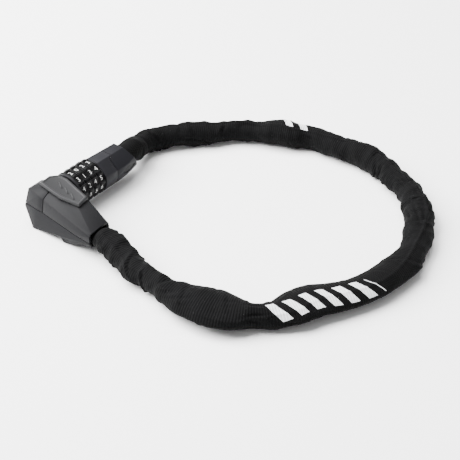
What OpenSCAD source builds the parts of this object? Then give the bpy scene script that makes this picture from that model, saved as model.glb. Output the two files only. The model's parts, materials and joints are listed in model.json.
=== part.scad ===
// Combination chain lock. A hammer-shaped head pulls off a barrel of four number dials.
// A welded chain in a woven sleeve runs from the barrel's cap round to the head's mouth.
// Frame: +X along the barrel, from head to cap. +Z up. The head's flat underside is at z = 0,
// with the origin where the barrel's axis and the head's axis cross in plan.

/* [Barrel] */
// Height of the barrel's axis over the surface the lock rests on
axis_h = 19; // [18:0.5:23]
// Outer radius of a number dial, over its ridges
dial_r = 16.2; // [15.5:0.1:18]
// Distance from one dial to the next
dial_pitch = 7; // [6.5:0.1:9]
// Depth of the flats that carry the numbers
dial_flat_depth = 1.7; // [0.6:0.1:2]
// Gap at each side of a dial
dial_gap = 0.15; // [0.1:0.05:0.3]
// Length of the grey ring behind the dials
ring_len = 14; // [10:0.5:20]
// Length of the tapered cap
cap_len = 26; // [22:0.5:34]
// Distance from the barrel's axis to the three flats on top of the ring and the cap
flat_top = 14.1; // [13.6:0.1:15]
// Fall of those flats towards the cap's mouth, in degrees
flat_fall = 2.2; // [0:0.1:2.5]
// Radius of the cap at its mouth
cap_mouth_r = 13.2; // [12.8:0.1:14.5]
// Slant of the cap's mouth, in degrees
cap_slant = 26; // [0:1:28]

/* [Lock work] */
// Radius of the bolt's rod
bolt_r = 4; // [3.5:0.1:4.2]
// How far the bolt's fins stand off its surface
fin_h = 4.8; // [4.4:0.1:5]
// Thickness of a fin along the bolt
fin_t = 1.6; // [1:0.1:2]
// Width of a fin
fin_w = 3; // [2:0.1:4]
// Wall of the tube that the dials turn on
tube_wall = 2.9; // [2.6:0.1:3.1]
// Thickness of the part of a code wheel that blocks a fin
web_t = 2.6; // [2:0.1:2.8]
// Outer radius of a code wheel
wheel_r = 11; // [10.6:0.1:11.5]
// Radial clearance of the running fits
run_fit = 0.1; // [0.05:0.01:0.1]
// Clearance of the parts that are assembled and stay put
seat_fit = 0.05; // [0.02:0.01:0.1]

/* [Head] */
// Distance from the barrel's axis back to the head's blunt end
head_back = 19; // [18:0.5:24]
// Distance from the barrel's axis to the mouth where the chain comes out
head_reach = 57; // [54:0.5:66]
// Distance from the head's centre to its face at the barrel
head_right = 19.4; // [18.5:0.1:22]
// Distance from the head's centre to the foot of its outer face
head_left = 16; // [15:0.5:20]
// Height of the shoulder under the lid
shoulder_h = 31; // [30:0.5:35]
// Height of the lid's seat over the barrel's axis line
seat_h = 33; // [32.6:0.2:36]
// Slope of the lid towards the mouth, in degrees
lid_slope = 5.4; // [3:0.2:6]
// Thickness of the lid
lid_t = 2.4; // [2:0.1:3.5]
// Height of the joint between the lower and the upper covers
parting_h = 17; // [16:0.5:18]
// Fall of that joint towards the mouth, in degrees
parting_slope = 5; // [0:0.5:6]
// Gap at the joints between the covers
parting_gap = 0.8; // [0.1:0.05:1]

/* [Mouth] */
// Offset of the mouth's centre from the head's centre
mouth_x = -5; // [-6:0.5:-4]
// Height of the mouth's centre
mouth_z = 13.5; // [13:0.5:14]
// Outer width of the neck at the mouth
mouth_w = 24; // [23:0.5:26]
// Outer height of the neck at the mouth
mouth_h = 17; // [16.5:0.5:18]
// Wall of the neck at the mouth
mouth_wall = 1.8; // [1.4:0.1:2]

/* [Chain and sleeve] */
// Diameter of the chain's wire
wire_d = 4; // [3.5:0.1:4.2]
// Clear length inside a link
link_gap_l = 20; // [18:0.5:22]
// Clear width inside a link
link_gap_w = 5.6; // [5:0.1:5.8]
// Play between two links
link_play = 0.8; // [0.4:0.1:1.5]
// Thickness of the woven sleeve
sleeve_t = 1; // [0.6:0.1:1.1]

/* [Hidden] */
$fn = 64;

// Stations along the barrel
barrel_gap = 0.4;
collar_x = head_right + barrel_gap;
collar_len = 2;
dial_count = 4;
dials_x = collar_x + collar_len + 0.2;
dials_end = dials_x + dial_count * dial_pitch;
ring_x = dials_end + 0.4;
cap_x = ring_x + ring_len;
cap_end = cap_x + cap_len;
tongue_reach = 3.6;
joint_gap = 0.45;

// Radii of the lock work
bore_r = bolt_r + run_fit;
tube_r = bore_r + tube_wall;
wheel_bore_r = tube_r + run_fit;
fin_r = bolt_r + fin_h;
fin_room_r = fin_r + 0.4;
body_r = flat_top - 2;
pocket_r = cap_mouth_r - 2;
bolt_tail = 5;
bolt_tip_x = dials_end + 1;
neck_joint_y = -3;

// The chain's links
link_w = link_gap_w + 2 * wire_d;
link_l = link_gap_l + 2 * wire_d;
link_step = link_gap_l - link_play;
rivet_r = wire_d / 2;
rivet_x = cap_x + 11;
first_link_x = rivet_x - rivet_r - 0.1 + link_gap_l / 2;
fork_end = rivet_x + 4.5;
cheek_h = 8;
cheek_out = 8;
slot_half = wire_d / 2 + 0.4;

// The end link in the head
anchor_y = -head_reach + 26;
end_link_y = anchor_y + rivet_r + 0.1 - link_gap_l / 2;
mouth_in_w = mouth_w - 2 * mouth_wall;
mouth_in_h = mouth_h - 2 * mouth_wall;
sleeve_gap = 0.5;

// Route of the sleeve: x, y, z of its centre, half its width and half its height.
sleeve_x = fork_end + 1.4;
route = [
    [sleeve_x, 0, axis_h, 9.8, 9.8],
    [cap_end + 6, 0, axis_h, 10.2, 10.2],
    [cap_end + 15, 2, 17.5, 11.5, 11.5],
    [118, 6, 13, 10.5, 10],
    [134, 4, 10.5, 10.5, 10],
    [153, -6, 11, 11, 10.5],
    [172, -23, 10, 10.5, 10],
    [189, -41, 9.5, 9.5, 9],
    [203, -63, 10, 10.5, 9.5],
    [214, -86, 11, 12, 11],
    [222, -111, 10, 10.5, 10],
    [225, -138, 10, 11, 10],
    [224, -165, 10, 11, 10.5],
    [217, -190, 9.5, 10, 9],
    [203, -215, 9.5, 10.5, 9],
    [182, -238, 9.5, 12.5, 9],
    [154, -255, 9, 12, 8.5],
    [124, -264, 9, 12.5, 8.5],
    [94, -263, 9, 14.5, 8.5],
    [68, -257, 9, 14, 8.5],
    [43, -244, 9, 15.5, 8.5],
    [20, -230, 9, 18, 8.5],
    [1, -218, 9, 12, 8.5],
    [-12, -202, 9.5, 15.5, 9],
    [-20, -181, 10, 18, 9.5],
    [-23, -158, 10, 15.5, 9.5],
    [-22, -135, 9.5, 9.5, 9],
    [-18, -112, 9.5, 11, 9],
    [-12, -91, 9.5, 11.5, 9],
    [mouth_x - 2, -head_reach - 17, 11, 11, 9.5],
    [mouth_x, -head_reach - 7, 12, 11, 8.4],
    [mouth_x, -head_reach - sleeve_gap, mouth_z, 9.6, 6.6]
];
sleeve_sides = 12;
rings_per_span = 2;

// A point on a smooth curve through four points of the route
function curve(a, b, c, d, t) =
    0.5 * ((2 * b) + (c - a) * t + (2 * a - 5 * b + 4 * c - d) * t * t
    + (3 * b - a - 3 * c + d) * t * t * t);
function route_at(i) = route[min(max(i, 0), len(route) - 1)];
rings = [
    for (i = [0 : len(route) - 2])
    for (k = [0 : rings_per_span - 1])
        curve(route_at(i - 1), route_at(i), route_at(i + 1), route_at(i + 2), k / rings_per_span),
    route[len(route) - 1]
];
function centre(i) = [rings[i][0], rings[i][1], rings[i][2]];
function ahead(i) = centre(min(i + 1, len(rings) - 1)) - centre(max(i - 1, 0));
// The direction across the sleeve, level with the ground
function across(i) = let (t = ahead(i)) [t[1], -t[0], 0] / norm([t[0], t[1]]);
// Distance run along the route up to each ring
function run_to(i) = i == 0 ? 0 : run_to(i - 1) + norm(centre(i) - centre(i - 1));
runs = [for (i = [0 : len(rings) - 1]) run_to(i)];
function span_of(s) = max([for (i = [0 : len(rings) - 2]) if (runs[i] <= s) i]);
function place_at(s) =
    let (i = span_of(s), t = (s - runs[i]) / (runs[i + 1] - runs[i]))
    centre(i) * (1 - t) + centre(i + 1) * t;

// ---------------------------------------------------------------- shared shapes

// A cylinder along X from x1 to x2, on the barrel's axis
module rod_x(x1, x2, r) {
    translate([x1, 0, axis_h])
        rotate([0, 90, 0])
            cylinder(h = x2 - x1, r = r);
}

// A prism along X over a flat shape whose x is -z and whose y is y
module along_x(x1, x2) {
    translate([x1, 0, axis_h])
        rotate([0, 90, 0])
            linear_extrude(height = x2 - x1)
                children();
}

// One chain link in the XY plane, long along X
module chain_link() {
    straight = link_gap_l - link_gap_w;
    bend_r = (link_gap_w + wire_d) / 2;
    for (side = [-1, 1]) {
        translate([-straight / 2, side * bend_r, 0])
            rotate([0, 90, 0])
                cylinder(h = straight, d = wire_d, $fn = 24);
        translate([side * straight / 2, 0, 0])
            rotate([0, 0, side * 90 - 180])
                rotate_extrude(angle = 180, $fn = 32)
                    translate([bend_r, 0])
                        circle(d = wire_d, $fn = 24);
    }
}

// ---------------------------------------------------------------- head covers

// The faceted block that the three covers are cut from
module head_block() {
    half_w = mouth_w / 2;
    half_h = mouth_h / 2;
    girdle_z = axis_h - 4;
    // the boss stays under the lid
    boss_r = seat_h - axis_h - 0.2;
    hull() {
        // flat underside
        linear_extrude(height = 0.1)
            polygon([[-head_left, 7], [-head_left + 0.5, -29], [-9, -36], [5, -38],
                [12, -28], [head_right - 5, -10], [head_right - 5, 7], [9, 10], [-12, 11]]);
        // girdle, where the blunt end stands out furthest
        translate([0, 0, girdle_z])
            linear_extrude(height = 0.1)
                polygon([[-head_left + 5, head_back], [11, head_back], [head_right - 2, 13],
                    [head_right - 2, -14], [-head_left + 2, -10]]);
        // shoulder
        translate([0, 0, shoulder_h - 1])
            linear_extrude(height = 0.1)
                polygon([[-head_left + 9, head_back - 2], [8, head_back - 2], [head_right - 3, 10],
                    [head_right - 4, -10], [11, -30], [-3, -34], [-head_left + 6, 3]]);
        // round boss at the barrel
        translate([head_right - 1.5, 0, axis_h])
            rotate([0, 90, 0])
                cylinder(h = 1.5, r1 = boss_r, r2 = boss_r - 0.6, $fn = 32);
        // seat of the lid
        translate([0, 0, seat_h])
            rotate([lid_slope, 0, 0])
                linear_extrude(height = 0.1)
                    polygon(lid_outline(1.4));
        // mouth
        translate([mouth_x, -head_reach, mouth_z])
            rotate([-90, 0, 0])
                linear_extrude(height = 0.1)
                    polygon([[-half_w, 2], [-half_w, -5], [-half_w + 3, -half_h + 1.5],
                        [half_w - 4, -half_h], [half_w - 0.5, -half_h + 3], [half_w, 4],
                        [half_w - 4, half_h], [-half_w + 7, half_h]]);
    }
}

// What the waist takes off the outer edge of the underside, up to where the neck swells
module waist() {
    waist_turn = 6.3;
    translate([-head_left, 8, 0])
        rotate([0, 0, waist_turn])
            rotate([0, 45, 0])
                translate([0, 0, -10])
                    linear_extrude(height = 10)
                        polygon([[-10, 0], [10, 0], [10, -13], [-10, -47]]);
}

// Outline of the lid, drawn in by a margin on every side
function lid_outline(margin) = [
    [-2.5 + margin, 8.5 - margin], [9.5 - margin / 2, 9.5 - margin], [16 - margin, 4.5 - margin / 2],
    [17 - margin, -4], [10 - margin, -33 + margin], [-3 + margin, -35 + margin],
    [-5.6 + margin, -16], [-4 + margin, -1]
];

collar_depth = 6;

// Room for the zinc core, the mouth's collar and the end link between them
module head_hollow() {
    way_w = wire_d + 3;
    way_h = link_w + 1.5;
    core_block(seat_fit);
    translate([mouth_x - mouth_in_w / 2, -head_reach - 1, mouth_z - mouth_in_h / 2])
        cube([mouth_in_w, collar_depth + 1.4, mouth_in_h]);
    translate([mouth_x - way_w / 2, collar_depth - head_reach, mouth_z - way_h / 2])
        cube([way_w, head_reach + anchor_y - 10 - collar_depth, way_h]);
}

// The covers' material
module covers() {
    difference() {
        head_block();
        waist();
        head_hollow();
    }
}

// Everything under the joint: level round the blunt end, falling towards the mouth
module under_joint(rise) {
    translate([-50, neck_joint_y, -1])
        cube([100, 100, parting_h + rise + 1]);
    translate([0, neck_joint_y, parting_h + rise])
        rotate([parting_slope, 0, 0])
            translate([-50, -100, -50])
                cube([100, 100.01, 50]);
}

module head_base_cover() {
    color("#505053")
    difference() {
        intersection() {
            covers();
            under_joint(0);
        }
        for (at = screw_places)
            translate([at[0], at[1], -1])
                screw_room();
    }
}

module head_rear_cover() {
    color("#505053")
    difference() {
        covers();
        under_joint(parting_gap);
        translate([-50, neck_joint_y + parting_gap / 2 - 200, -1])
            cube([100, 200, 100]);
        lid_pegs(seat_fit);
    }
}

module head_neck_cover() {
    color("#48484c")
    difference() {
        covers();
        under_joint(parting_gap);
        translate([-50, neck_joint_y - parting_gap / 2, -1])
            cube([100, 200, 100]);
        lid_pegs(seat_fit);
    }
}

peg_r = 1.3;
peg_h = 2.2;
lid_lift = 0.8;
peg_places = [[3, 4], [7, -10], [1, -26]];

// Pegs under the lid that press into the upper covers
module lid_pegs(clearance) {
    translate([0, 0, seat_h])
        rotate([lid_slope, 0, 0])
            for (at = peg_places)
                translate([at[0], at[1], -peg_h - clearance])
                    cylinder(h = peg_h + 1 + clearance, r = peg_r + clearance, $fn = 32);
}

module head_lid() {
    bevel = 1.1;
    color("#77787b")
    union() {
        translate([0, 0, seat_h])
            rotate([lid_slope, 0, 0])
                translate([0, 0, lid_lift])
                    hull() {
                        linear_extrude(height = lid_t - bevel)
                            polygon(lid_outline(0));
                        linear_extrude(height = lid_t)
                            polygon(lid_outline(bevel));
                    }
        lid_pegs(0);
    }
}

// ---------------------------------------------------------------- inside the head

core_boss_r = 9;
core_top = shoulder_h - 2;
core_low = 11;
anchor_w = 12;
anchor_h = 17;

// The cast core's outer shape, grown by a clearance
module core_block(grow) {
    // round the bolt
    translate([-bolt_tail - 1.5 - grow, -12 - grow, axis_h - core_low - grow])
        cube([head_right + 3 + 2 * grow, 23.5 + 2 * grow, core_top - axis_h + core_low + 2 * grow]);
    // boss at the barrel
    rod_x(head_right - 6, head_right + (grow > 0 ? 1 : 0), core_boss_r + grow);
    // round the end link
    translate([mouth_x - anchor_w / 2 - grow, anchor_y - 12 - grow, mouth_z - anchor_h / 2 - grow])
        cube([anchor_w + 2 * grow, -anchor_y + 2 + 2 * grow, anchor_h + 2 * grow]);
}

screw_places = [[7, 5], [mouth_x, anchor_y + 12]];
screw_r = 1.5;
screw_head_r = 2.9;
screw_head_h = 1.8;
screw_sink = 0.6;
screw_len = 11;

// Hole and counterbore for a cover screw, from 1 mm under the cover
module screw_room() {
    cylinder(h = 30, r = screw_r + run_fit);
    cylinder(h = 1 + screw_sink + screw_head_h + seat_fit, r = screw_head_r + run_fit);
}

module head_core() {
    link_room = wire_d / 2 + 0.3;
    color("#9a9a9c")
    difference() {
        core_block(0);
        rod_x(-bolt_tail - seat_fit, head_right + 1, bolt_r + seat_fit);
        // slot for the end link, open to the mouth
        translate([mouth_x - link_room, -head_reach, mouth_z - link_w / 2 - 0.5])
            cube([2 * link_room, head_reach + end_link_y + link_l / 2 + 0.5, link_w + 1]);
        // cross hole for the link's pin
        translate([mouth_x - 7, anchor_y, mouth_z])
            rotate([0, 90, 0])
                cylinder(h = 14, r = rivet_r + seat_fit);
        // cross hole for the bolt's pin
        translate([0, 14, axis_h])
            rotate([90, 0, 0])
                cylinder(h = 28, r = bolt_pin_r + seat_fit);
        for (at = screw_places)
            translate([at[0], at[1], 0])
                cylinder(h = screw_sink + screw_len + 0.5, r = screw_r + seat_fit);
    }
}

module head_screws() {
    color("#2a2a2c")
    for (at = screw_places)
        translate([at[0], at[1], screw_sink])
            difference() {
                union() {
                    cylinder(h = screw_head_h, r = screw_head_r);
                    cylinder(h = screw_len, r = screw_r);
                }
                // cross recess
                for (turn = [0, 90])
                    rotate([0, 0, turn])
                        translate([-1.6, -0.35, -1])
                            cube([3.2, 0.7, 2]);
            }
}

bolt_pin_r = 1.2;

module bolt_pin() {
    color("#b0b0b2")
    translate([0, 10, axis_h])
        rotate([90, 0, 0])
            cylinder(h = 20, r = bolt_pin_r);
}

function fin_x(i) = dials_x + i * dial_pitch + web_t + 1.1;

module lock_bolt() {
    color("#c4c5c7")
    difference() {
        union() {
            rod_x(-bolt_tail, bolt_tip_x - 1, bolt_r);
            // rounded nose
            translate([bolt_tip_x - 1, 0, axis_h])
                rotate([0, 90, 0])
                    cylinder(h = 1, r1 = bolt_r, r2 = bolt_r - 1);
            for (i = [0 : dial_count - 1])
                translate([fin_x(i), -fin_w / 2, axis_h])
                    cube([fin_t, fin_w, fin_r]);
        }
        translate([0, 12, axis_h])
            rotate([90, 0, 0])
                cylinder(h = 24, r = bolt_pin_r + seat_fit);
    }
}

module end_link() {
    color("#a8a9ab")
    translate([mouth_x, end_link_y, mouth_z])
        rotate([90, 0, 90])
            chain_link();
}

module end_link_pin() {
    color("#b0b0b2")
    translate([mouth_x - 5.8, anchor_y, mouth_z])
        rotate([0, 90, 0])
            cylinder(h = 11.6, r = rivet_r);
}

module mouth_collar() {
    depth = collar_depth;
    lip = 1.1;
    color("#1c1c1d")
    translate([mouth_x, -head_reach + 0.3, mouth_z])
        difference() {
            translate([-mouth_in_w / 2 + seat_fit, 0, -mouth_in_h / 2 + seat_fit])
                cube([mouth_in_w - 2 * seat_fit, depth, mouth_in_h - 2 * seat_fit]);
            translate([-mouth_in_w / 2 + lip, -1, -mouth_in_h / 2 + lip])
                cube([mouth_in_w - 2 * lip, depth + 2, mouth_in_h - 2 * lip]);
        }
}

// ---------------------------------------------------------------- barrel

clip_groove_x = collar_x + 0.1;
clip_t = 0.8;
clip_out = 1.8;
clip_in = 1;

module barrel_core() {
    ball_out = ball_r + seat_fit;
    color("#9a9a9c")
    difference() {
        union() {
            rod_x(collar_x, dials_end + 1, tube_r);
            // body inside the ring, with the fork for the chain
            rod_x(dials_end + 0.2, cap_x + 5, body_r);
            intersection() {
                rod_x(cap_x, fork_end, pocket_r - 0.6);
                translate([cap_x, -cheek_out, axis_h - cheek_h])
                    cube([fork_end - cap_x, 2 * cheek_out, 2 * cheek_h]);
            }
        }
        // bore for the bolt
        rod_x(collar_x - 1, bolt_tip_x + 1, bore_r);
        // slot that the fins run in
        translate([collar_x - 1, -fin_w / 2 - run_fit, axis_h])
            cube([dials_end + 0.1 - collar_x + 1, fin_w + 2 * run_fit, 30]);
        // groove for the retaining ring
        difference() {
            rod_x(clip_groove_x - seat_fit, clip_groove_x + clip_t + seat_fit, tube_r + 5);
            rod_x(clip_groove_x - 1, clip_groove_x + clip_t + 1, tube_r - clip_in);
        }
        // bed of the detent spring and the pockets of its balls
        translate([spring_x, -spring_w / 2 - run_fit, axis_h - bore_r - spring_bed])
            cube([spring_len, spring_w + 2 * run_fit, bore_r + spring_bed]);
        for (i = [0 : dial_count - 1])
            translate([ball_x(i), 0, axis_h - tube_r - 1])
                cylinder(h = tube_r, r = ball_out, $fn = 32);
        // slot and hole for the first link and its rivet
        translate([first_link_x - link_l / 2 - 0.5, -slot_half, axis_h - link_w / 2 - 0.5])
            cube([link_l, 2 * slot_half, link_w + 1]);
        // the second link turns in the fork's mouth
        translate([first_link_x + link_step - link_l / 2 - 0.5, -link_w / 2 - 0.5, axis_h - slot_half])
            cube([link_l, link_w + 1, 2 * slot_half]);
        translate([rivet_x, cheek_out + 1, axis_h])
            rotate([90, 0, 0])
                cylinder(h = 2 * cheek_out + 2, r = rivet_r + seat_fit);
    }
}

module retaining_ring() {
    color("#5c5c60")
    difference() {
        rod_x(clip_groove_x, clip_groove_x + clip_t, tube_r + clip_out);
        rod_x(clip_groove_x - 1, clip_groove_x + clip_t + 1, tube_r - clip_in + seat_fit);
        translate([clip_groove_x - 1, -fin_w / 2 - 0.8, axis_h])
            cube([clip_t + 2, fin_w + 1.6, 30]);
    }
}

module front_collar() {
    recess = clip_groove_x + clip_t + 0.1;
    chamfer = 0.4;
    collar_r = dial_r - 0.8;
    color("#3e3e42")
    difference() {
        union() {
            rod_x(collar_x + chamfer, collar_x + collar_len, collar_r);
            translate([collar_x, 0, axis_h])
                rotate([0, 90, 0])
                    cylinder(h = chamfer, r1 = collar_r - chamfer, r2 = collar_r);
        }
        rod_x(collar_x - 1, recess, tube_r + clip_out + 0.3);
        rod_x(collar_x - 1, collar_x + collar_len + 1, tube_r + seat_fit);
        translate([collar_x - 1, -fin_w / 2 - 0.2, axis_h])
            cube([collar_len + 2, fin_w + 0.4, fin_room_r]);
    }
}

// ---------------------------------------------------------------- dials

dial_numbers = 10;
number_step = 360 / dial_numbers;
key_w = 2;
key_h = 0.8;
ridge_top = 4;
ridge_foot = 7.5;

// Outline of a dial: ten flats for the numbers, with a ridge between each two
function dial_outline() =
    let (floor_r = (dial_r - dial_flat_depth) / cos(number_step / 2 - ridge_foot))
    [for (i = [0 : dial_numbers - 1]) each let (ridge = (i + 0.5) * number_step) [
        floor_r * [cos(ridge - ridge_foot), sin(ridge - ridge_foot)],
        (dial_r + 0.1) * [cos(ridge - ridge_top), sin(ridge - ridge_top)],
        (dial_r + 0.3) * [cos(ridge), sin(ridge)],
        (dial_r + 0.1) * [cos(ridge + ridge_top), sin(ridge + ridge_top)],
        floor_r * [cos(ridge + ridge_foot), sin(ridge + ridge_foot)]
    ]];

module dial(i) {
    x1 = dials_x + i * dial_pitch + dial_gap;
    x2 = dials_x + (i + 1) * dial_pitch - dial_gap;
    shoulder = 1.6;
    drop = 1.4;
    color("#1a1a1c")
    difference() {
        intersection() {
            along_x(x1, x2)
                rotate([0, 0, dial_turn])
                    polygon(dial_outline());
            // the ridges' chamfered shoulders
            translate([x1, 0, axis_h])
                rotate([0, 90, 0])
                    rotate_extrude($fn = 96)
                        polygon([[0, 0], [dial_r - drop, 0], [dial_r, shoulder],
                            [dial_r, x2 - x1 - shoulder], [dial_r - drop, x2 - x1], [0, x2 - x1]]);
        }
        rod_x(x1 - 1, x2 + 1, wheel_r + seat_fit);
        wheel_key(x1 - 1, x2 + 1, seat_fit);
    }
}

// Turn of the number pattern about the barrel, so that a number faces up and out
dial_turn = -2.5;

// Key that turns a dial with its code wheel
module wheel_key(x1, x2, clearance) {
    translate([x1, wheel_r - 1, axis_h - key_w / 2 - clearance])
        cube([x2 - x1, 1 + key_h + clearance, key_w + 2 * clearance]);
}

module dial_1() { dial(0); }
module dial_2() { dial(1); }
module dial_3() { dial(2); }
module dial_4() { dial(3); }

// A code wheel: the web blocks the fins except at its gate, and the fin parks behind the web
module code_wheel(i) {
    x1 = dials_x + i * dial_pitch + dial_gap;
    x2 = dials_x + (i + 1) * dial_pitch - dial_gap;
    notch_r = 0.8;
    color("#b89a5a")
    difference() {
        union() {
            rod_x(x1, x2, wheel_r);
            wheel_key(x1, x2, 0);
        }
        rod_x(x1 - 1, x2 + 1, wheel_bore_r);
        rod_x(x1 + web_t, x2 + 1, fin_room_r);
        translate([x1 - 1, -fin_w / 2 - 0.2, axis_h])
            cube([web_t + 2, fin_w + 0.4, fin_room_r - 0.2]);
        for (n = [0 : dial_numbers - 1])
            translate([x1 - 1, 0, axis_h])
                rotate([n * number_step - 90, 0, 0])
                    translate([0, wheel_bore_r, 0])
                        rotate([0, 90, 0])
                            cylinder(h = web_t + 2, r = notch_r, $fn = 24);
    }
}

module code_wheel_1() { code_wheel(0); }
module code_wheel_2() { code_wheel(1); }
module code_wheel_3() { code_wheel(2); }
module code_wheel_4() { code_wheel(3); }

// ---------------------------------------------------------------- detents

ball_r = 0.95;
spring_t = 0.3;
spring_w = 1.8;
spring_bed = 0.9;
spring_x = dials_x - 1;
spring_len = dial_count * dial_pitch;
function ball_x(i) = dials_x + i * dial_pitch + dial_gap + web_t / 2;

module detent_balls() {
    color("#c8c8ca")
    for (i = [0 : dial_count - 1])
        translate([ball_x(i), 0, axis_h - tube_r + ball_r])
            sphere(r = ball_r, $fn = 32);
}

module detent_spring() {
    tip_gap = 0.3;
    color("#8a8a8e")
    translate([spring_x + tip_gap, -spring_w / 2, axis_h - bore_r - spring_t - 0.35])
        cube([spring_len - 2 * tip_gap, spring_w, spring_t]);
}

// ---------------------------------------------------------------- ring and cap

// What the three flats take off the ring and the cap, set deeper by an inset
module upper_flats(inset) {
    for (turn = [-45, 0, 45])
        translate([ring_x, 0, axis_h])
            rotate([turn, 0, 0])
                translate([0, -dial_r - 5, flat_top - inset])
                    rotate([0, flat_fall, 0])
                        translate([-5, 0, 0])
                            cube([100, 2 * dial_r + 10, 20]);
}

tongue_half = 6.5;

// The tongue's plan, seen from above, grown by a clearance
module tongue_plan(grow) {
    corner = 2.4;
    end_x = cap_x + tongue_reach + grow;
    translate([cap_x - 2, -tongue_half - grow, axis_h])
        cube([end_x - corner - cap_x + 2, 2 * (tongue_half + grow), 30]);
    translate([cap_x - 2, -tongue_half - grow + corner, axis_h])
        cube([end_x - cap_x + 2, 2 * (tongue_half + grow - corner), 30]);
    for (side = [-1, 1])
        translate([end_x - corner, side * (tongue_half + grow - corner), axis_h])
            cylinder(h = 30, r = corner, $fn = 48);
}

module barrel_ring() {
    color("#55555a")
    difference() {
        union() {
            rod_x(ring_x, cap_x, dial_r - 0.2);
            intersection() {
                rod_x(cap_x - 1, cap_x + 10, dial_r - 0.2);
                tongue_plan(0);
            }
        }
        rod_x(ring_x - 1, cap_x + 12, body_r + seat_fit);
        upper_flats(0);
    }
}

// The cap's outer shape, drawn in by an inset
module cap_outer(inset) {
    x1 = cap_x + joint_gap;
    cap_r = dial_r - 0.2 - inset;
    difference() {
        intersection() {
            translate([x1, 0, axis_h])
                rotate([0, 90, 0])
                    rotate_extrude($fn = 96)
                        polygon([[0, 0], [cap_r, 0], [cap_r, cap_len * 0.3], [cap_r - 0.5, cap_len * 0.6],
                            [cap_r - 1.5, cap_len * 0.85], [cap_mouth_r - inset, cap_len + 4],
                            [cap_mouth_r - inset, cap_len + 12], [0, cap_len + 12]]);
            // the slanted mouth
            translate([cap_end, 0, axis_h])
                rotate([0, -cap_slant, 0])
                    translate([-100, -50, -50])
                        cube([100, 100, 100]);
        }
        upper_flats(inset);
    }
}

// Lens-shaped plan of the insert, seen along its own normal, and how far it is sunk
insert_tilt = 8;
insert_x = cap_x + cap_len * 0.58;
insert_depth = dial_r - 3.4;
insert_w = 17;
insert_h = 6;
insert_seat = 0.3;

module insert_prism(grow, inner) {
    arc_r = (insert_w * insert_w / 4 + insert_h * insert_h / 4) / insert_h;
    translate([insert_x, 0, axis_h])
        rotate([90 + insert_tilt, 0, 0])
            translate([0, 0, inner])
                intersection() {
                    translate([0, insert_h / 2 - arc_r, 0])
                        cylinder(h = 12, r = arc_r + grow, $fn = 96);
                    translate([0, arc_r - insert_h / 2, 0])
                        cylinder(h = 12, r = arc_r + grow, $fn = 96);
                }
}

module barrel_cap() {
    color("#3d3d41")
    difference() {
        cap_outer(0);
        rod_x(cap_x - 1, cap_x + 5.2, body_r + seat_fit);
        rod_x(cap_x + 1, cap_end + 20, pocket_r);
        tongue_plan(joint_gap);
        insert_prism(insert_seat, insert_depth);
    }
}

module cap_insert() {
    color("#2c2c30")
    intersection() {
        cap_outer(0.5);
        insert_prism(0, insert_depth + seat_fit);
    }
}

module chain_rivet() {
    color("#b0b0b2")
    translate([rivet_x, cheek_out - 0.4, axis_h])
        rotate([90, 0, 0])
            cylinder(h = 2 * cheek_out - 0.8, r = rivet_r);
}

// Band that holds the sleeve's end in the cap
module sleeve_clamp() {
    band_x = sleeve_x + 0.4;
    color("#2a2a2c")
    difference() {
        rod_x(band_x, band_x + 3.4, pocket_r - seat_fit);
        rod_x(band_x - 1, band_x + 5, pocket_r - 0.6);
    }
}

// ---------------------------------------------------------------- chain and sleeve

sleeve_run = runs[len(runs) - 1];
link_start = first_link_x - sleeve_x;
link_count = floor((sleeve_run - link_start - link_l / 2 - 1) / link_step) + 1;

module chain_links() {
    color("#8f9092")
    for (n = [0 : link_count - 1]) {
        s = link_start + n * link_step;
        here = place_at(s);
        back = place_at(max(s - link_l / 2, 0));
        front = place_at(min(s + link_l / 2, sleeve_run));
        // the first link lies straight in the fork
        way = n == 0 ? [1, 0, 0] : front - back;
        translate(here)
            rotate([0, -atan2(way[2], norm([way[0], way[1]])), atan2(way[1], way[0])])
                rotate([n % 2 == 0 ? 90 : 0, 0, 0])
                    chain_link();
    }
}

// Points of one skin of the sleeve, drawn in by an inset
function skin(inset) = [
    for (i = [0 : len(rings) - 1])
    for (k = [0 : sleeve_sides - 1])
        let (turn = k * 360 / sleeve_sides)
        centre(i) + across(i) * (rings[i][3] - inset) * cos(turn)
            + [0, 0, (rings[i][4] - inset) * sin(turn)]
];

// The sleeve is a tube with a wall: an outer skin, an inner skin and two end rims
module sleeve() {
    last = len(rings) - 1;
    inner = len(rings) * sleeve_sides;
    walls = [
        for (i = [0 : last - 1])
        for (k = [0 : sleeve_sides - 1])
            let (
                a = i * sleeve_sides + k,
                b = i * sleeve_sides + (k + 1) % sleeve_sides,
                c = b + sleeve_sides,
                d = a + sleeve_sides
            )
            each [[a, b, c], [a, c, d], [inner + a, inner + c, inner + b],
                [inner + a, inner + d, inner + c]]
    ];
    rims = [
        for (k = [0 : sleeve_sides - 1])
            let (a = k, b = (k + 1) % sleeve_sides, e = last * sleeve_sides)
            each [[a, inner + a, inner + b], [a, inner + b, b],
                [e + a, e + b, inner + e + b], [e + a, inner + e + b, inner + e + a]]
    ];
    color("#1e1e1e")
    polyhedron(points = concat(skin(0), skin(sleeve_t)), faces = concat(walls, rims), convexity = 10);
}

head_base_cover();
head_rear_cover();
head_neck_cover();
head_lid();
head_core();
head_screws();
lock_bolt();
bolt_pin();
end_link();
end_link_pin();
mouth_collar();
barrel_core();
retaining_ring();
front_collar();
dial_1();
dial_2();
dial_3();
dial_4();
code_wheel_1();
code_wheel_2();
code_wheel_3();
code_wheel_4();
detent_balls();
detent_spring();
barrel_ring();
barrel_cap();
cap_insert();
chain_rivet();
sleeve_clamp();
chain_links();
sleeve();
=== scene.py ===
import json
import math

import bmesh
import bpy
import numpy as np
from mathutils import Matrix, Vector

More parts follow.
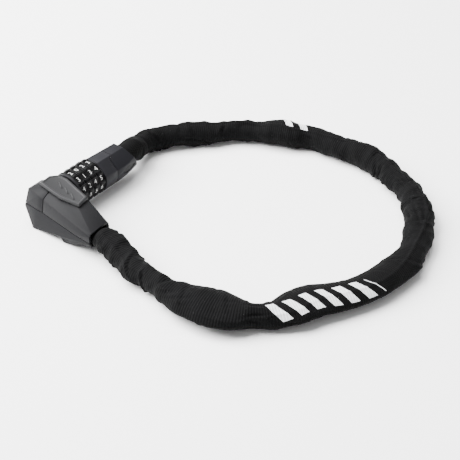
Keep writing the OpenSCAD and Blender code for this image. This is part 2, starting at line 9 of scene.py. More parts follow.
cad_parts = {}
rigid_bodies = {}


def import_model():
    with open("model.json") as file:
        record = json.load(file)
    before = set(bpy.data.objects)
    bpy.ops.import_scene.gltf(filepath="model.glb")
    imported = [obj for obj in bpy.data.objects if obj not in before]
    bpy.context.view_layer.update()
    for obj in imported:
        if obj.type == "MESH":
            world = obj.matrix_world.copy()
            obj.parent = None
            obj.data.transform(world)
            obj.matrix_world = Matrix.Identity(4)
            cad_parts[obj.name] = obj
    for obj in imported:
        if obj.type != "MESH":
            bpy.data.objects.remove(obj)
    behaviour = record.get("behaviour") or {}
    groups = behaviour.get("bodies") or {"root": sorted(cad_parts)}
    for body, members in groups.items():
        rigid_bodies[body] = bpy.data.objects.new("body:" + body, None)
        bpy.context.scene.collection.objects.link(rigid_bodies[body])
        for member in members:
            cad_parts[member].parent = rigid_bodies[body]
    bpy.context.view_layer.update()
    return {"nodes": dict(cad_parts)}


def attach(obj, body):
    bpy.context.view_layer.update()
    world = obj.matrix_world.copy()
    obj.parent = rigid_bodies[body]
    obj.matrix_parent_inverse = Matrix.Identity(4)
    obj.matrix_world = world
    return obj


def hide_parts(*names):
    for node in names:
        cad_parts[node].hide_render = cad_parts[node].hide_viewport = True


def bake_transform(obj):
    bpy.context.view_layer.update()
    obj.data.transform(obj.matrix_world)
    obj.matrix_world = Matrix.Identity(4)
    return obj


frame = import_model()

scene = bpy.context.scene

# ---------------------------------------------------------------- camera
# The lock is looked down on from the head's side, so that the barrel runs away to the right
# and the whole loop shows. A long lens, about a metre off, keeps the loop from spreading.

view_azimuth = math.radians(53.18)
view_elevation = math.radians(36)
field_of_view = math.radians(22)
camera_place = Vector((-0.5465, -0.5912, 0.5667))

view_line = Vector((
    math.sin(view_azimuth) * math.cos(view_elevation),
    math.cos(view_azimuth) * math.cos(view_elevation),
    -math.sin(view_elevation),
))
camera = bpy.data.objects.new("camera", bpy.data.cameras.new("camera"))
camera.data.sensor_width = 36
camera.data.angle = field_of_view
camera.data.clip_end = 10
camera.location = camera_place
camera.rotation_euler = view_line.to_track_quat("-Z", "Y").to_euler()
scene.collection.objects.link(camera)
scene.camera = camera

# ---------------------------------------------------------------- sleeve
# Tubular webbing woven from black polyester, ribbed across. It is drawn over the chain, held at
# both ends, and wider than the chain, so it gathers, folds flat and sags between the links.

# x, y and z of its centre, half its width and half its height, in metres, from the cap round
# to the head's mouth. The last point lies inside the mouth.
sleeve_route = np.array([
    [81.3, 0, 19, 9.8, 9.8], [96.4, 0, 19, 10.2, 10.2], [105.4, 2, 17.5, 11.5, 11.5],
    [118, 6, 13, 10.5, 10], [134, 4, 10.5, 10.5, 10], [153, -6, 11, 11, 10.5],
    [172, -23, 10, 10.5, 10], [189, -41, 9.5, 9.5, 9], [203, -63, 10, 10.5, 9.5],
    [214, -86, 11, 12, 11], [222, -111, 10, 10.5, 10], [225, -138, 10, 11, 10],
    [224, -165, 10, 11, 10.5], [217, -190, 9.5, 10, 9], [203, -215, 9.5, 10.5, 9],
    [182, -238, 9.5, 12.5, 9], [154, -255, 9, 12, 8.5], [124, -264, 9, 12.5, 8.5],
    [94, -263, 9, 14.5, 8.5], [68, -257, 9, 14, 8.5], [43, -244, 9, 15.5, 8.5],
    [20, -230, 9, 18, 8.5], [1, -218, 9, 12, 8.5], [-12, -202, 9.5, 15.5, 9],
    [-20, -181, 10, 18, 9.5], [-23, -158, 10, 15.5, 9.5], [-22, -135, 9.5, 9.5, 9],
    [-18, -112, 9.5, 11, 9], [-12, -91, 9.5, 11.5, 9], [-7, -74, 11, 11, 9.5],
    [-5, -64, 12, 11.6, 8.8], [-5, -59.5, 13, 10.8, 7.6], [-5, -57, 13.5, 8.8, 5.4],
    [-5, -51.5, 13.5, 8.4, 5.2],
]) / 1000
ring_count = 760
sides = 84
route_samples = 4000
floor_gap = 0.0002
link_step = 0.0192
swelling_count = 170
crease_count = 190
slantwise_share = 0.72
webbing_radius = 0.011
fold_height = 0.00125
chain_reach = 0.0081
# stretches at the cap and at the mouth that are held smooth, and how fast the folds begin
held_at_cap, starting = 0.014, 0.012
held_at_mouth, ending = 0.007, 0.008


def smooth_rows(rows, places):
    """Rows of numbers on a smooth curve through the given rows, at places counted in rows."""
    padded = np.vstack([rows[:1], rows, rows[-1:]])
    i = np.clip(places.astype(int), 0, len(rows) - 2)
    t = (places - i)[:, None]
    a, b, c, d = padded[i], padded[i + 1], padded[i + 2], padded[i + 3]
    return 0.5 * (2 * b + (c - a) * t + (2 * a - 5 * b + 4 * c - d) * t ** 2
                  + (3 * b - a - 3 * c + d) * t ** 3)


fine = smooth_rows(sleeve_route, np.linspace(0, len(sleeve_route) - 1, route_samples))
fine_run = np.concatenate([[0], np.cumsum(np.linalg.norm(np.diff(fine[:, :3], axis=0), axis=1))])
sleeve_length = float(fine_run[-1])
along = np.linspace(0, sleeve_length, ring_count)
rings = np.stack([np.interp(along, fine_run, fine[:, k]) for k in range(5)], axis=1)
centres, half_w, half_h = rings[:, :3].copy(), rings[:, 3].copy(), rings[:, 4].copy()
heading = np.gradient(centres, axis=0)
across = np.stack([heading[:, 1], -heading[:, 0], np.zeros(ring_count)], axis=1)
across /= np.linalg.norm(across, axis=1)[:, None]


def near(place, spread):
    """A soft bump along the sleeve, 1 at a place and fading over a spread, in metres."""
    return np.exp(-((along - place) / spread) ** 2)


# where the sleeve bulges or is pinched: place, spread, share of its width, shift to the inside
for place, spread, wider, shift in [
    (0.055, 0.020, -0.10, -0.0012), (0.108, 0.008, 0.02, 0.0016), (0.135, 0.012, -0.24, 0.0),
    (0.172, 0.009, 0.12, -0.0024), (0.198, 0.012, -0.16, -0.0020), (0.294, 0.010, 0.12, 0.0010),
    (0.345, 0.007, -0.14, -0.0010), (0.400, 0.012, -0.07, 0.0006), (0.508, 0.018, 0.05, 0.0034),
    (0.540, 0.010, -0.10, 0.0012), (0.556, 0.008, -0.30, 0.0), (0.590, 0.020, 0.14, 0.0018),
    (0.634, 0.010, -0.14, -0.0006), (0.650, 0.006, -0.12, 0.0008), (0.664, 0.007, 0.08, -0.0008),
    (0.699, 0.006, 0.12, -0.0012),
]:
    half_w *= 1 + wider * near(place, spread)
    centres += across * (shift * near(place, spread))[:, None]

turn = np.linspace(-math.pi / 2, 1.5 * math.pi, sides, endpoint=False)
chance = np.random.default_rng(41)
s, phi = along[:, None], turn[None, :]
flatness = np.clip((half_w / half_h - 1.1) / 0.8, 0, 1)[:, None]
side_out = half_w[:, None] * np.cos(phi)
up_out = half_h[:, None] * np.sign(np.sin(phi)) * np.abs(np.sin(phi)) ** (1 + 0.3 * flatness)

# how strongly it is gathered: place, spread, strength
gathered = 0.30 + 0 * along
for place, spread, strength in [
    (0.030, 0.025, 0.9), (0.090, 0.030, 0.4), (0.160, 0.050, 0.3), (0.255, 0.040, 0.5),
    (0.340, 0.045, 0.6), (0.470, 0.050, -0.15), (0.545, 0.012, 0.5), (0.640, 0.030, 0.6),
    (0.690, 0.030, 0.8),
]:
    gathered = gathered + strength * near(place, spread)
gathered = np.clip(gathered, 0, 1.2)[:, None]


def round_the_girth(angle):
    """The way round from an angle to every side, the short way."""
    return (phi - angle + math.pi) % (2 * math.pi) - math.pi


folds = 0.35 * np.cos(math.pi * s / link_step) * np.cos(2 * phi)
for wave, lobes, height in [(0.0093, 1, 0.25), (0.0147, -2, 0.45), (0.0190, 1, 0.6)]:
    drift = np.cumsum(chance.normal(0, 0.09, ring_count))[:, None]
    bend = 1.3 * np.sin(phi + chance.uniform(0, 6.28)) + chance.uniform(0, 6.28)
    crest = 0.5 + 0.5 * np.cos(2 * math.pi * s / wave + lobes * phi + bend + drift)
    folds = folds + height * (crest ** 2 - 0.38) * gathered
# soft swellings and hollows
for _ in range(swelling_count):
    place, angle = chance.uniform(0, sleeve_length), chance.uniform(0, 2 * math.pi)
    size, spread = chance.uniform(0.005, 0.012), chance.uniform(0.35, 0.9)
    height = chance.normal(0, 0.75)
    swelling = height * near(place, size)[:, None] * np.exp(-(round_the_girth(angle) / spread) ** 2)
    folds = folds + swelling * (0.35 + gathered)
# creases: most run slantwise round the webbing, the rest along it
for _ in range(crease_count):
    place, angle = chance.uniform(0, sleeve_length), chance.uniform(0, 2 * math.pi)
    if chance.uniform() < slantwise_share:
        slant = chance.normal(1.2, 0.35) * chance.choice([-1, 1])
    else:
        slant = chance.normal(0, 0.2)
    size, width = chance.uniform(0.004, 0.012), chance.uniform(0.0008, 0.0017)
    depth = chance.uniform(0.4, 1.1)
    gone, round_it = s - place, round_the_girth(angle) * webbing_radius
    lengthwise = gone * math.cos(slant) + round_it * math.sin(slant)
    sideways = round_it * math.cos(slant) - gone * math.sin(slant)
    ridge = np.exp(-((sideways - 1.9 * width) / (1.4 * width)) ** 2) * 0.7
    crease = ridge - np.exp(-(sideways / width) ** 2)
    folds = folds + depth * crease * np.exp(-(lengthwise / size) ** 2) * (0.25 + gathered)
# one long fold that wanders down the webbing
settled = np.clip((s - 0.30) / 0.15, 0, 1)
fold_line = 1.45 + 0.75 * settled * settled * (3 - 2 * settled)
fold_line = fold_line + 0.28 * np.sin(s / 0.041) + 0.15 * np.sin(s / 0.017)
folds = folds + (0.6 + 0.9 * near(0.345, 0.06)[:, None]) * np.exp(-((phi - fold_line) / 0.09) ** 2)
past_cap = (along - held_at_cap) / starting
before_mouth = (sleeve_length - held_at_mouth - along) / ending
free = np.clip(np.minimum(past_cap, before_mouth), 0, 1)
folds = folds * fold_height * free[:, None]

# the webbing can't sink into the chain
reach = np.hypot(side_out, up_out)
drawn = np.maximum(reach + folds, np.minimum(reach, chain_reach)) / reach
side_out = side_out * drawn
up_out = up_out * drawn
skin = centres[:, None, :] + across[:, None, :] * side_out[:, :, None]
skin[:, :, 2] += up_out
skin[:, :, 2] = np.maximum(skin[:, :, 2], floor_gap)

girth_step = np.linalg.norm(np.roll(skin, -1, axis=1) - skin, axis=2)
girth_at = np.concatenate([np.zeros((ring_count, 1)), np.cumsum(girth_step, axis=1)], axis=1)
top_column = sides // 2
girth_at -= girth_at[:, top_column:top_column + 1]

corners = skin.reshape(-1, 3).tolist()
sleeve_faces, sleeve_uv = [], []
for i in range(ring_count - 1):
    for k in range(sides):
        n = (k + 1) % sides
        sleeve_faces.append((i * sides + k, i * sides + n, (i + 1) * sides + n, (i + 1) * sides + k))
        sleeve_uv += [(girth_at[i, k], along[i]), (girth_at[i, k + 1], along[i]),
                      (girth_at[i + 1, k + 1], along[i + 1]), (girth_at[i + 1, k], along[i + 1])]
for i, order in ((0, -1), (ring_count - 1, 1)):
    corners.append(centres[i].tolist())
    for k in range(sides):
        pair = (i * sides + k, i * sides + (k + 1) % sides)[::order]
        sleeve_faces.append((*pair, len(corners) - 1))
        sleeve_uv += [(0.0, float(along[i]))] * 3
sleeve_mesh = bpy.data.meshes.new("sleeve_webbing")
sleeve_mesh.from_pydata(corners, [], sleeve_faces)
sleeve_mesh.uv_layers.new(name="weave").data.foreach_set("uv", np.array(sleeve_uv, np.float32).ravel())
sleeve_mesh.shade_smooth()
sleeve = bpy.data.objects.new("sleeve_webbing", sleeve_mesh)
scene.collection.objects.link(sleeve)


class Wire:
    """One output of a finish's nodes. Sums on wires add Math nodes to the same finish."""

    def __init__(self, tree, output=None):
        self.tree, self.output = tree, output

    def add(self, kind, sockets=(), settings=(), output=0):
        """Adds a node of any kind: its settings first, then values or wires for its sockets."""
        node = self.tree.nodes.new(kind if "Node" in kind else "ShaderNode" + kind)
        for name, value in dict(settings).items():
            if name == "stops":
                while len(node.color_ramp.elements) < len(value):
                    node.color_ramp.elements.new(0.5)
                for stop, (place, shade) in zip(node.color_ramp.elements, value):
                    stop.position, stop.color = place, (shade, shade, shade, 1)
            else:
                setattr(node, name, value)
        for name, value in dict(sockets).items():
            if isinstance(value, Wire):
                self.tree.links.new(value.output, node.inputs[name])
            else:
                node.inputs[name].default_value = value
        return None if output is None else Wire(self.tree, node.outputs[output])

    def sum(self, operation, *terms):
        return self.add("Math", dict(enumerate(terms)), {"operation": operation})

    def of(self, operation, *others):
        """This wire put through one Math node, such as its sine."""
        return self.sum(operation, self, *others)

    def __add__(self, other): return self.sum("ADD", self, other)
    def __radd__(self, other): return self.sum("ADD", other, self)
    def __sub__(self, other): return self.sum("SUBTRACT", self, other)
    def __rsub__(self, other): return self.sum("SUBTRACT", other, self)
    def __mul__(self, other): return self.sum("MULTIPLY", self, other)
    def __rmul__(self, other): return self.sum("MULTIPLY", other, self)
    def __truediv__(self, other): return self.sum("DIVIDE", self, other)
    def __lt__(self, other): return self.sum("LESS_THAN", self, other)
    def __gt__(self, other): return self.sum("GREATER_THAN", self, other)


def mixed(share, one, other):
    """One colour where share is 0 and the other where it is 1."""
    return share.add("Mix", {0: share, 6: one, 7: other}, {"data_type": "RGBA"}, output=2)


def shade(colour, scale=1.0):
    return (*[min(1.0, c * scale) for c in colour], 1)


def finish(name, fixed=()):
    """A new material, its node tree as a wire, its shader and its fixed shader values set."""
    material = bpy.data.materials.new(name)
    material.use_nodes = True
    shader = material.node_tree.nodes["Principled BSDF"]
    for socket, value in dict(fixed).items():
        shader.inputs[socket].default_value = value
    return material, Wire(material.node_tree), shader


def feed(wire, shader, socket):
    wire.tree.links.new(wire.output, shader.inputs[socket])


rib_pitch = 0.0019
thread_pitch = 0.0011
webbing_black = (0.0016, 0.0016, 0.0017)
print_white = (0.72, 0.73, 0.74)
# slanted reflective bars: where they start and end along the webbing, and their middle round it
bar_rows = [(0.465, 0.548, 0.007), (0.172, 0.197, 0.004)]
bar_pitch = 0.0135
bar_share = 0.50
bar_half = 0.0085
bar_slant = 0.55

webbing, wire, shader = finish("sleeve_webbing", {"Sheen Weight": 0.004, "Sheen Roughness": 0.5,
                                                  "Specular IOR Level": 0.06})
lie = wire.add("UVMap", settings={"uv_map": "weave"})
girth = wire.add("SeparateXYZ", {"Vector": lie})
length = wire.add("SeparateXYZ", {"Vector": lie}, output=1)
rib = (length * (2 * math.pi / rib_pitch)).of("SINE")
thread = (girth * (2 * math.pi / thread_pitch)).of("SINE")
scuffs = wire.add("TexNoise", {"Vector": wire.add("TexCoord", output=3), "Scale": 55.0, "Detail": 6.0})
lint = wire.add("TexNoise", {"Vector": wire.add("TexCoord", output=3), "Scale": 900.0, "Detail": 2.0})
slid = length + girth * bar_slant
on_a_bar = (slid / bar_pitch).of("FRACT") < bar_share
bars = 0
for row_start, row_end, row_middle in bar_rows:
    in_height = (girth - row_middle).of("ABSOLUTE") < bar_half
    bars = bars + in_height * (slid > row_start) * (slid < row_end) * on_a_bar
worn_bars = bars * (1 - (lint > 0.66) * 0.35) * (0.93 + rib * 0.07)
cloth = mixed(scuffs * 0.8 + rib * 0.26, shade(webbing_black, 0.7), shade(webbing_black, 2.4))
cloth = mixed((lint > 0.70) * 0.10, cloth, shade((0.10, 0.10, 0.10)))
feed(mixed(worn_bars, cloth, shade(print_white)), shader, "Base Color")
feed(0.86 - worn_bars * 0.38 + (scuffs - 0.5) * 0.1, shader, "Roughness")
weave_height = rib * 0.5 + thread * rib * 0.22 + (lint - 0.5) * 0.5 + bars * 0.5
feed(wire.add("Bump", {"Strength": 0.9, "Distance": 0.0003, "Height": weave_height}), shader, "Normal")
sleeve_mesh.materials.append(webbing)

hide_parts("sleeve")
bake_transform(sleeve)

# ---------------------------------------------------------------- chain
# Short welded links of round steel wire, zinc plated, inside the sleeve. The first one hangs on
# a rivet in the barrel's fork, and the last is pinned in the head.


def plated_steel(name, colour, gloss, grain):
    """Bright metal with fine scratches, dull patches and a slight change of tone."""
    material, wire, shader = finish(name, {"Metallic": 1.0})
    place = wire.add("TexCoord", output=3)
    patches = wire.add("TexNoise", {"Vector": place, "Scale": 120.0, "Detail": 4.0})
    scratches = wire.add("TexNoise", {"Vector": place, "Scale": grain, "Detail": 3.0})
    feed(mixed(patches, shade(colour, 0.8), shade(colour, 1.15)), shader, "Base Color")
    feed(gloss + (patches - 0.5) * 0.25 + (scratches - 0.5) * 0.15, shader, "Roughness")
    scratched = wire.add("Bump", {"Strength": 0.4, "Distance": 0.00005, "Height": scratches})
    feed(scratched, shader, "Normal")
    return material


def part_copy(node, name):
    """A copy of a part's mesh with its loose triangles joined up."""
    shape = bmesh.new()
    shape.from_mesh(frame["nodes"][node].data)
    bmesh.ops.remove_doubles(shape, verts=shape.verts, dist=2e-6)
    mesh = bpy.data.meshes.new(name)
    shape.to_mesh(mesh)
    shape.free()
    mesh.materials.clear()
    piece = bpy.data.objects.new(name, mesh)
    scene.collection.objects.link(piece)
    return piece


chain_zinc = plated_steel("chain_zinc", (0.42, 0.42, 0.43), 0.34, 1800.0)
chain = part_copy("chain_links", "chain_run")
chain.data.materials.append(chain_zinc)
chain.data.shade_smooth()
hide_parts("chain_links")
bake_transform(chain)
frame["nodes"]["end_link"].data.materials.clear()
frame["nodes"]["end_link"].data.materials.append(chain_zinc)

# ---------------------------------------------------------------- cores, bolt and pins
# The head and the barrel are built on zinc die castings. The bolt with its four fins, the pins
# and the rivet are turned and hardened steel, and the code wheels are sintered brass.

cast_zinc, wire, shader = finish("cast_zinc", {"Metallic": 1.0})
place = wire.add("TexCoord", output=3)
flow = wire.add("TexNoise", {"Vector": place, "Scale": 90.0, "Detail": 5.0, "Distortion": 1.2})
pores = wire.add("TexVoronoi", {"Vector": place, "Scale": 1400.0})
feed(mixed(flow, shade((0.30, 0.30, 0.31)), shade((0.42, 0.42, 0.43))), shader, "Base Color")
feed(0.45 + (flow - 0.5) * 0.3, shader, "Roughness")
cast_skin = wire.add("Bump", {"Strength": 0.5, "Distance": 0.00008, "Height": flow + pores * 0.4})
feed(cast_skin, shader, "Normal")


def turned_metal(name, colour, gloss, pitch):
    """Metal with the fine rings that a lathe leaves, square to the barrel's axis."""
    material, wire, shader = finish(name, {"Metallic": 1.0})
    place = wire.add("TexCoord", output=3)
    run = wire.add("SeparateXYZ", {"Vector": place})
    tool_marks = (run * (2 * math.pi / pitch)).of("SINE")
    patches = wire.add("TexNoise", {"Vector": place, "Scale": 160.0, "Detail": 3.0})
    feed(mixed(patches, shade(colour, 0.85), shade(colour, 1.12)), shader, "Base Color")
    feed(gloss + tool_marks * 0.03 + (patches - 0.5) * 0.2, shader, "Roughness")
    turned = wire.add("Bump", {"Strength": 0.3, "Distance": 0.00003, "Height": tool_marks})
    feed(turned, shader, "Normal")
    return material


turned_steel = turned_metal("turned_steel", (0.55, 0.55, 0.56), 0.26, 0.0003)
wheel_brass = turned_metal("wheel_brass", (0.56, 0.41, 0.18), 0.38, 0.0004)
spring_steel = plated_steel("spring_steel", (0.30, 0.30, 0.33), 0.30, 2500.0)
black_steel = plated_steel("black_steel", (0.03, 0.03, 0.032), 0.42, 2200.0)
for node, metal in {
    "head_core": cast_zinc, "barrel_core": cast_zinc, "lock_bolt": turned_steel,
    "bolt_pin": turned_steel, "end_link_pin": turned_steel, "chain_rivet": turned_steel,
    "detent_balls": turned_steel, "detent_spring": spring_steel, "retaining_ring": spring_steel,
    "sleeve_clamp": black_steel, "head_screws": black_steel, "code_wheel_1": wheel_brass,
    "code_wheel_2": wheel_brass, "code_wheel_3": wheel_brass, "code_wheel_4": wheel_brass,
}.items():
    frame["nodes"][node].data.materials.clear()
    frame["nodes"][node].data.materials.append(metal)

# ---------------------------------------------------------------- head covers
# Three glass-filled nylon mouldings, spark-eroded to a fine grain, snapped together over the
# zinc core and screwed from below. Their edges are a little smoother, with a painted highlight.


def moulded_nylon(name, colour, gloss, grain=0.00028, depth=0.00004, edge_highlight_scale=1.0):
    """Satin moulded plastic: an eroded grain, faint flow marks and a few pale scuffs."""
    material, wire, shader = finish(name, {"Specular IOR Level": 0.06})
    place = wire.add("TexCoord", output=3)
    flow = wire.add("TexNoise", {"Vector": place, "Scale": 45.0, "Detail": 5.0})
    eroded = wire.add("TexNoise", {"Vector": place, "Scale": 1 / grain, "Detail": 3.0})
    specks = wire.add("TexVoronoi", {"Vector": place, "Scale": 260.0}) < 0.05
    # the last argument lightens the whole colour when above 1: a painted highlight for the copy that
    # goes on rounded edges
    tone = mixed(flow, shade(colour, 0.90 * edge_highlight_scale), shade(colour, 1.10 * edge_highlight_scale))
    tone = mixed(eroded * 0.12, tone, shade(colour, 1.7 * edge_highlight_scale))
    feed(mixed(specks * 0.25, tone, shade(colour, 2.2)), shader, "Base Color")
    feed(gloss + (flow - 0.5) * 0.14 + (eroded - 0.5) * 0.10, shader, "Roughness")
    grained = wire.add("Bump", {"Strength": 0.55, "Distance": depth, "Height": eroded + flow * 2})
    feed(grained, shader, "Normal")
    return material


# how much smoother and lighter the copy on rounded edges is; the lighter colour is a painted highlight
edge_smoother, edge_highlight = 0.1, 1.35


def rubbed_pair(name, colour, gloss):
    """The moulding's finish, and a lighter copy for its rounded edges, a painted highlight."""
    face = moulded_nylon(name, colour, gloss)
    edge = moulded_nylon(name + "_edge", colour, gloss - edge_smoother, edge_highlight_scale=edge_highlight)
    return [face, edge]


def moulding(node, name, body, finishes, radius, sharpest=28, reshape=None):
    """A part's mesh with its flat faces made whole and its edges rounded, riding on a body."""
    piece = part_copy(node, name)
    shape = bmesh.new()
    shape.from_mesh(piece.data)
    bmesh.ops.dissolve_limit(shape, angle_limit=math.radians(0.6), verts=shape.verts, edges=shape.edges)
    if reshape:
        reshape(shape)
    shape.to_mesh(piece.data)
    shape.free()
    for one in finishes:
        piece.data.materials.append(one)
    rounding = piece.modifiers.new("rounded_edges", "BEVEL")
    rounding.width = radius
    rounding.segments = 2
    rounding.limit_method = "ANGLE"
    rounding.angle_limit = math.radians(sharpest)
    rounding.material = len(finishes) - 1
    piece.data.shade_smooth()
    evaluated = piece.evaluated_get(bpy.context.evaluated_depsgraph_get())
    rounded = bpy.data.meshes.new_from_object(evaluated)
    piece.modifiers.clear()
    piece.data = rounded
    rounded.name = name
    rounded.set_sharp_from_angle(angle=math.radians(35))
    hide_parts(node)
    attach(piece, body)


cover_grey = rubbed_pair("cover_grey", (0.0088, 0.0088, 0.0096), 0.55)
moulding("head_base_cover", "base_cover_moulding", "head", cover_grey, 0.0006)
moulding("head_rear_cover", "rear_cover_moulding", "head", cover_grey, 0.0006)
moulding("head_neck_cover", "neck_cover_moulding", "head", cover_grey, 0.0006)

# ---------------------------------------------------------------- lid
# A lighter nylon plate pressed onto the two upper covers with three pegs. Its top is dished
# inside a narrow rim, and three slanted bars stand up in the dish as a plain ornament.

lid_grey = rubbed_pair("lid_grey", (0.0215, 0.0216, 0.0224), 0.48)
lid_slope = math.radians(5.4)
lid_seat_z = 0.033
lid_lift = 0.0008
lid_thickness = 0.0024
rim_width = 0.0013
dish_side = 0.0005
dish_depth = 0.0005
dish_floor = lid_lift + lid_thickness - dish_depth


def dish_the_top(shape):
    top = max((f for f in shape.faces if f.normal.z > 0.95), key=lambda f: f.calc_area())
    bmesh.ops.inset_region(shape, faces=[top], thickness=rim_width, depth=0)
    bmesh.ops.inset_region(shape, faces=[top], thickness=dish_side, depth=-dish_depth)


moulding("head_lid", "lid_moulding", "head", lid_grey, 0.0003, reshape=dish_the_top)


def growing(name, inputs):
    """A Geometry Nodes tree with named inputs, and a wire from each of them."""
    tree = bpy.data.node_groups.new(name, "GeometryNodeTree")
    tree.interface.new_socket("Geometry", in_out="OUTPUT", socket_type="NodeSocketGeometry")
    for label, kind in inputs.items():
        tree.interface.new_socket(label, in_out="INPUT", socket_type="NodeSocket" + kind)
    entry = tree.nodes.new("NodeGroupInput")
    return tree, {label: Wire(tree, entry.outputs[label]) for label in inputs}


def end_tree(instances, material):
    """Realizes a tree's instances, gives them their material and ends the tree."""
    real = instances.add("GeometryNodeRealizeInstances", {"Geometry": instances})
    clad = real.add("GeometryNodeSetMaterial", {"Geometry": real, "Material": material})
    clad.add("NodeGroupOutput", {"Geometry": clad}, output=None)


def grow(name, tree, values):
    """A piece with the plain mesh that a tree makes from values for its named inputs."""
    piece = bpy.data.objects.new(name, bpy.data.meshes.new(name + "_seed"))
    scene.collection.objects.link(piece)
    growth = piece.modifiers.new("growth", "NODES")
    growth.node_group = tree
    for socket in tree.interface.items_tree:
        if socket.in_out == "INPUT":
            growth[socket.identifier] = values[socket.name]
    evaluated = piece.evaluated_get(bpy.context.evaluated_depsgraph_get())
    mesh = bpy.data.meshes.new_from_object(evaluated)
    mesh.name = name
    # a tree leaves an empty material slot before the one it sets
    only_material = next(one for one in mesh.materials if one)
    mesh.materials.clear()
    mesh.materials.append(only_material)
    mesh.polygons.foreach_set("material_index", [0] * len(mesh.polygons))
    piece.modifiers.clear()
    piece.data = mesh
    return piece


lid_bar_size = (0.0085, 0.0011, 0.0006)
lid_bar_turn = 1.02
lid_bar_count = 3
lid_bar_rounding = 0.00012
first_lid_bar = (0.0020, -0.0235, dish_floor)
next_lid_bar = (0.0022, 0.0085, 0.0)
bars_tree, given = growing("lid_bars", {
    "Count": "Int", "Size": "Vector", "First": "Vector", "Step": "Vector", "Turn": "Vector",
    "Slope": "Vector", "Seat": "Vector", "Material": "Material",
})
row = given["Count"].add("GeometryNodeMeshLine", {
    "Count": given["Count"], "Start Location": given["First"], "Offset": given["Step"],
}, {"mode": "OFFSET"})
bar = row.add("GeometryNodeMeshCube", {"Size": given["Size"]})
laid = row.add("GeometryNodeInstanceOnPoints", {
    "Points": row, "Instance": bar, "Rotation": given["Turn"],
})
seated = laid.add("GeometryNodeTransform", {
    "Geometry": laid, "Rotation": given["Slope"], "Translation": given["Seat"],
})
end_tree(seated, given["Material"])
# the bars take the lid's lighter edge finish, a painted highlight on them
raised_bars = grow("lid_bars", bars_tree, {
    "Count": lid_bar_count, "Size": lid_bar_size, "First": first_lid_bar, "Step": next_lid_bar,
    "Turn": (0.0, 0.0, lid_bar_turn), "Slope": (lid_slope, 0.0, 0.0),
    "Seat": (0.0, 0.0, lid_seat_z), "Material": lid_grey[1],
})
edges = bmesh.new()
edges.from_mesh(raised_bars.data)
bmesh.ops.bevel(edges, geom=edges.edges, offset=lid_bar_rounding, segments=2, affect="EDGES")
edges.to_mesh(raised_bars.data)
edges.free()
raised_bars.data.shade_smooth()
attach(raised_bars, "head")

# ---------------------------------------------------------------- mouth collar
# A black nylon frame pressed into the head's mouth, which keeps the webbing off sharp edges.

black_nylon = rubbed_pair("black_nylon", (0.006, 0.006, 0.0065), 0.45)
moulding("mouth_collar", "mouth_collar_moulding", "head", black_nylon, 0.0004)

# ---------------------------------------------------------------- front collar
# A dark grey nylon washer on the dial tube, held by a spring ring, that the head's boss closes on.

collar_grey = rubbed_pair("collar_grey", (0.012, 0.012, 0.0132), 0.45)
moulding("front_collar", "front_collar_moulding", "barrel", collar_grey, 0.0002)

# ---------------------------------------------------------------- number dials
# Four turning rings of black nylon. Ten flats round each carry the numbers, which are filled
# with white paint to just above the flat, and ridges between them give the fingers a grip.

# the second finish is four times lighter and goes on the rounded edges: a painted highlight where they
# catch the light
dial_nylon = [moulded_nylon("dial_nylon", (0.0040, 0.0040, 0.0043), 0.36, depth=0.00002),
              moulded_nylon("dial_nylon_edge_highlight", (0.016, 0.016, 0.0165), 0.30, depth=0.00002)]
barrel_axis_z = 0.019
dial_radius = 0.0162
flat_depth = 0.0017
dial_count = 4
flats_round = 10
first_dial_x = 0.022
dial_pitch = 0.007
number_step = 360 / flats_round
first_number_angle = 128.5
number_height = 0.0043
size_for_height = 1.38
stroke_thinner = 0.0001
dial_rounding = 0.00022
figure_depth = 0.0002
paint_proud = 0.00006
lowest_number = [1, -1, 1, 2]

number_paint, wire, shader = finish("number_paint", {"Specular IOR Level": 0.5})
place = wire.add("TexCoord", output=3)
wear = wire.add("TexNoise", {"Vector": place, "Scale": 1300.0, "Detail": 3.0})
feed(mixed(wear > 0.68, shade((0.70, 0.70, 0.69)), shade((0.30, 0.30, 0.30))), shader, "Base Color")
feed(0.38 + wear * 0.2, shader, "Roughness")
feed(wire.add("Bump", {"Strength": 0.3, "Distance": 0.00003, "Height": wear}), shader, "Normal")


def painted_number(number):
    """A figure as a thin solid, upright in the XY plane, centred, with its face up."""
    letter = bpy.data.curves.new("number", "FONT")
    letter.body = str(number)
    letter.size = number_height * size_for_height
    letter.extrude = figure_depth
    letter.offset = -stroke_thinner
    letter.resolution_u = 4
    holder = bpy.data.objects.new("number", letter)
    scene.collection.objects.link(holder)
    bpy.context.view_layer.update()
    mesh = bpy.data.meshes.new_from_object(holder.evaluated_get(bpy.context.evaluated_depsgraph_get()))
    bpy.data.objects.remove(holder)
    spots = np.array([v.co for v in mesh.vertices])
    middle = (spots.min(axis=0) + spots.max(axis=0)) / 2
    mesh.transform(Matrix.Translation((-middle[0], -middle[1], 0)))
    return mesh


figures = bpy.data.collections.new("figures")
for n in range(flats_round):
    figures.objects.link(bpy.data.objects.new(f"figure_{n}", painted_number(n)))

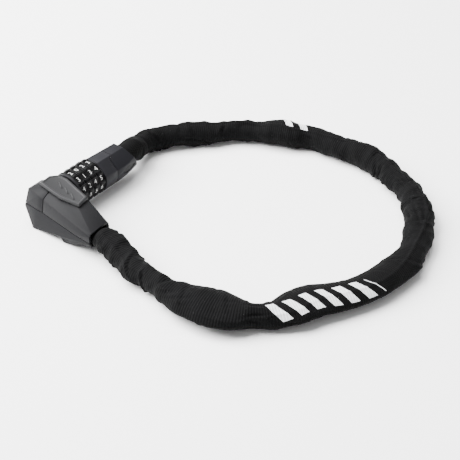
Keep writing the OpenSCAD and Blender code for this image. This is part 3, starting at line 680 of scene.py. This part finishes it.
# ten figures round a dial: each is turned about the barrel's axis, then moved out to its flat
numbers_tree, given = growing("dial_numbers", {
    "Figures": "Collection", "Centre": "Vector", "First Turn": "Float", "Turn Step": "Float",
    "Out": "Vector", "First Number": "Int", "Material": "Material",
})
middle_points = given["Centre"].add("GeometryNodeMeshLine", {
    "Count": flats_round, "Start Location": given["Centre"], "Offset": (0.0, 0.0, 0.0),
}, {"mode": "OFFSET"})
place_in_turn = middle_points.add("GeometryNodeInputIndex")
turn_each = place_in_turn * given["Turn Step"] + given["First Turn"]
turned = middle_points.add("CombineXYZ", {"X": turn_each})
number_shown = (place_in_turn + given["First Number"]).of("MODULO", flats_round)
kit = middle_points.add("GeometryNodeCollectionInfo", {
    "Collection": given["Figures"], "Separate Children": True, "Reset Children": True,
})
ringed = middle_points.add("GeometryNodeInstanceOnPoints", {
    "Points": middle_points, "Instance": kit, "Pick Instance": True,
    "Instance Index": number_shown, "Rotation": turned,
})
moved_out = ringed.add("GeometryNodeTranslateInstances", {
    "Instances": ringed, "Translation": given["Out"], "Local Space": True,
})
end_tree(moved_out, given["Material"])

for d in range(dial_count):
    dial_name = f"dial_{d + 1}"
    moulding(dial_name, dial_name + "_moulding", dial_name, dial_nylon, dial_rounding,
             sharpest=24)
    painted = grow(dial_name + "_numbers", numbers_tree, {
        "Figures": figures, "Centre": (first_dial_x + dial_pitch * (d + 0.5), 0.0, barrel_axis_z),
        "First Turn": math.radians(90 - first_number_angle), "Turn Step": math.radians(number_step),
        "Out": (0.0, 0.0, dial_radius - flat_depth - figure_depth + paint_proud),
        "First Number": lowest_number[d] % flats_round, "Material": number_paint,
    })
    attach(painted, dial_name)
for figure in list(figures.objects):
    bpy.data.objects.remove(figure)
bpy.data.collections.remove(figures)

# ---------------------------------------------------------------- ring and cap
# Two grey nylon shells over the barrel's casting. The ring's tongue locks into the cap, and
# the cap tapers to its slanted mouth. A black lens is glued into the cap's side.

ring_grey = rubbed_pair("ring_grey", (0.0135, 0.0135, 0.0155), 0.44)
cap_grey = rubbed_pair("cap_grey", (0.0095, 0.0095, 0.0112), 0.42)
moulding("barrel_ring", "ring_moulding", "barrel", ring_grey, 0.0003)
moulding("barrel_cap", "cap_moulding", "barrel", cap_grey, 0.0011)
moulding("cap_insert", "cap_lens", "barrel", black_nylon, 0.0002)

# ---------------------------------------------------------------- floor and lights
# A plain white floor, with a large soft light up behind the head's end, a broad fill light
# overhead and an even sky.

floor_reach = 4
floor_z = -0.0005
floor_corners = [
    (-floor_reach, -floor_reach, floor_z), (floor_reach, -floor_reach, floor_z),
    (floor_reach, floor_reach, floor_z), (-floor_reach, floor_reach, floor_z),
]
floor_mesh = bpy.data.meshes.new("floor")
floor_mesh.from_pydata(floor_corners, [], [(0, 1, 2, 3)])
floor = bpy.data.objects.new("floor", floor_mesh)
scene.collection.objects.link(floor)
floor_paper, wire, shader = finish("floor_paper")
fibre = wire.add("TexNoise", {"Vector": wire.add("TexCoord", output=3), "Scale": 300.0})
feed(mixed(fibre, shade((0.96, 0.96, 0.96)), shade((0.98, 0.98, 0.98))), shader, "Base Color")
feed(0.8 + fibre * 0.1, shader, "Roughness")
floor_mesh.materials.append(floor_paper)

sky = bpy.data.worlds.new("studio")
scene.world = sky
sky.use_nodes = True
sky_light = sky.node_tree.nodes["Background"]
sky_light.inputs["Color"].default_value = (1, 1, 1, 1)
sky_light.inputs["Strength"].default_value = 0.6
look_at = Vector((0.08, -0.10, 0.0))
for name, spot, power, width in [
    ("key_light", (-0.45, 1.05, 1.35), 215, 1.7),
    ("fill_light", (0.4, 0.3, 1.7), 60, 1.4),
]:
    lamp = bpy.data.lights.new(name, "AREA")
    lamp.energy = power
    lamp.size = width
    holder = bpy.data.objects.new(name, lamp)
    holder.location = spot
    holder.rotation_euler = (look_at - Vector(spot)).to_track_quat("-Z", "Y").to_euler()
    scene.collection.objects.link(holder)

bpy.context.view_layer.update()
